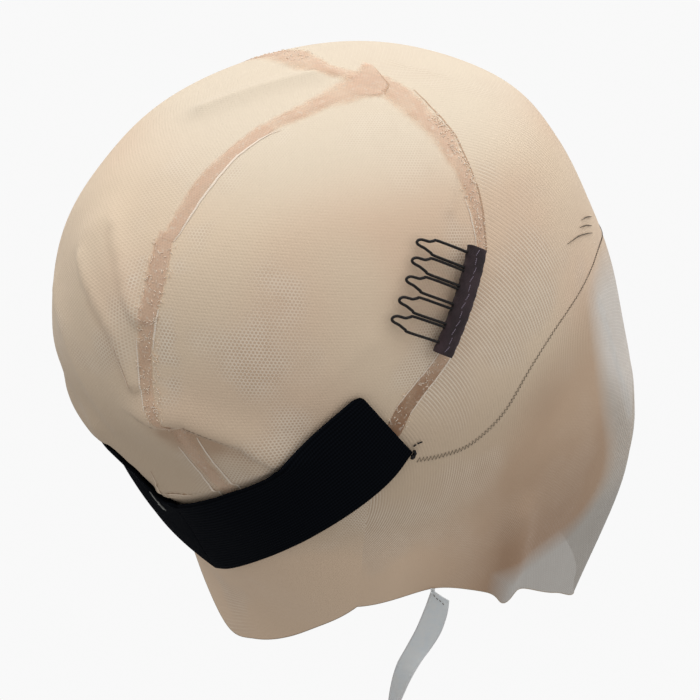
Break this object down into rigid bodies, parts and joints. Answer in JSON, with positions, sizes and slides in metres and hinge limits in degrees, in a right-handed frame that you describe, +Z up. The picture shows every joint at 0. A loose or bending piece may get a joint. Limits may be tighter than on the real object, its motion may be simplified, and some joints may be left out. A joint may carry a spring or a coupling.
{
  "type": "full lace wig cap",
  "caption": "Domed lace wig cap turned inside out, with an untrimmed front veil, taped seams, an elastic nape band, sewn wire combs and a satin label.",
  "frame": {"origin": "the crown inside the cap, where the top of a head carries it", "axes": "+Z up through the crown, -Y towards the face, -X towards the wearer's right ear"},
  "size_m": [0.1606, 0.2256, 0.2182],
  "materials": {
    "front_net": "fine diagonal tulle net, beige",
    "back_net": "hexagonal tulle net, warm beige",
    "seam_tape": "soft folded net tape, darker beige",
    "elastic": "knitted black elastic, matt",
    "comb_binding": "dark brown woven binding with a stitch line",
    "comb_wire": "black coated spring wire",
    "satin": "white satin ribbon with a sheen"
  },
  "bodies": {
    "root": {"front_lace": "front_net", "back_lace_right": "back_net", "back_lace_left": "back_net", "front_seam_tape": "seam_tape", "back_seam_tape": "seam_tape", "elastic_band_right": "elastic", "elastic_band_left": "elastic", "comb_bar_right": "comb_binding", "comb_bar_left": "comb_binding", "comb_wire_right": "comb_wire", "comb_wire_left": "comb_wire", "label_ribbon": "satin"}
  },
  "joints": []
}
